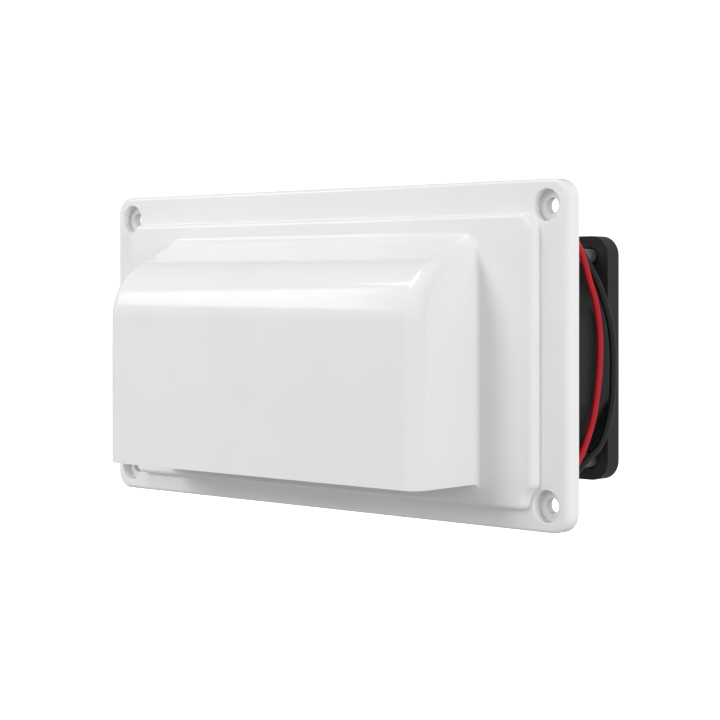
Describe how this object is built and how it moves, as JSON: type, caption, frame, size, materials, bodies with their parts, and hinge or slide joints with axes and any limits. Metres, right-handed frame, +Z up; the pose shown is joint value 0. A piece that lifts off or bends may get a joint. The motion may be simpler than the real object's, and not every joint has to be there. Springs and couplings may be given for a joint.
{
  "type": "air vent",
  "caption": "White hooded side-wall air vent: a screw-on rectangular plate with a downward-opening hood, and axial fans with loose leads on the duct behind it.",
  "frame": {"origin": "centre of the wall plate's rear face, which is also the centre of its four screw holes", "axes": "+Z up; the wall is the plane Y = 0; -Y points out of the wall towards the hood and +Y points into the wall towards the fans; +X to the right as seen from the hood's side"},
  "size_m": [0.1526, 0.0703, 0.08],
  "materials": {
    "white_abs": "glossy moulded ABS",
    "black_mesh": "matt moulded mesh",
    "black_pbt": "satin glass-filled PBT",
    "screw_steel": "zinc plated",
    "plated_steel": "plain pressed steel",
    "polished_steel": "ground shaft",
    "ferrite": "bonded ferrite",
    "sintered_bronze": "oil-filled sintered bronze",
    "natural_nylon": "natural nylon",
    "copper_wire": "enamelled copper wire",
    "board_green": "green solder mask",
    "silver_label": "plain foil",
    "red_pvc": "PVC insulation",
    "black_pvc": "PVC insulation",
    "plug_nylon": "nylon 66"
  },
  "bodies": {
    "housing": {"vent_housing": "white_abs", "insect_screen": "black_mesh", "fan_screws": "screw_steel", "right_fan_frame": "black_pbt", "right_bearing_sleeve": "sintered_bronze", "right_thrust_washer": "natural_nylon", "right_stator_core": "plated_steel", "right_coil_former": "natural_nylon", "right_windings": "copper_wire", "right_circuit_board": "board_green", "right_bearing_cover": "silver_label", "right_red_lead": "red_pvc", "right_black_lead": "black_pvc", "right_lead_coil": "black_pvc", "right_cable_tie": "natural_nylon", "right_lead_plug": "plug_nylon", "left_fan_frame": "black_pbt", "left_bearing_sleeve": "sintered_bronze", "left_thrust_washer": "natural_nylon", "left_stator_core": "plated_steel", "left_coil_former": "natural_nylon", "left_windings": "copper_wire", "left_circuit_board": "board_green", "left_bearing_cover": "silver_label", "left_red_lead": "red_pvc", "left_black_lead": "black_pvc", "left_lead_coil": "black_pvc", "left_cable_tie": "natural_nylon", "left_lead_plug": "plug_nylon"},
    "right_rotor": {"right_impeller": "black_pbt", "right_rotor_yoke": "plated_steel", "right_magnet_ring": "ferrite", "right_shaft": "polished_steel", "right_retaining_clip": "natural_nylon"},
    "left_rotor": {"left_impeller": "black_pbt", "left_rotor_yoke": "plated_steel", "left_magnet_ring": "ferrite", "left_shaft": "polished_steel", "left_retaining_clip": "natural_nylon"}
  },
  "joints": [
    {"name": "right_fan_spin", "type": "hinge", "parent": "housing", "child": "right_rotor", "pos_m": [0.0305, 0.0265, -0.002], "axis": [0, 1, 0], "continuous": true},
    {"name": "left_fan_spin", "type": "hinge", "parent": "housing", "child": "left_rotor", "pos_m": [-0.0305, 0.0265, -0.002], "axis": [0, 1, 0], "continuous": true}
  ]
}
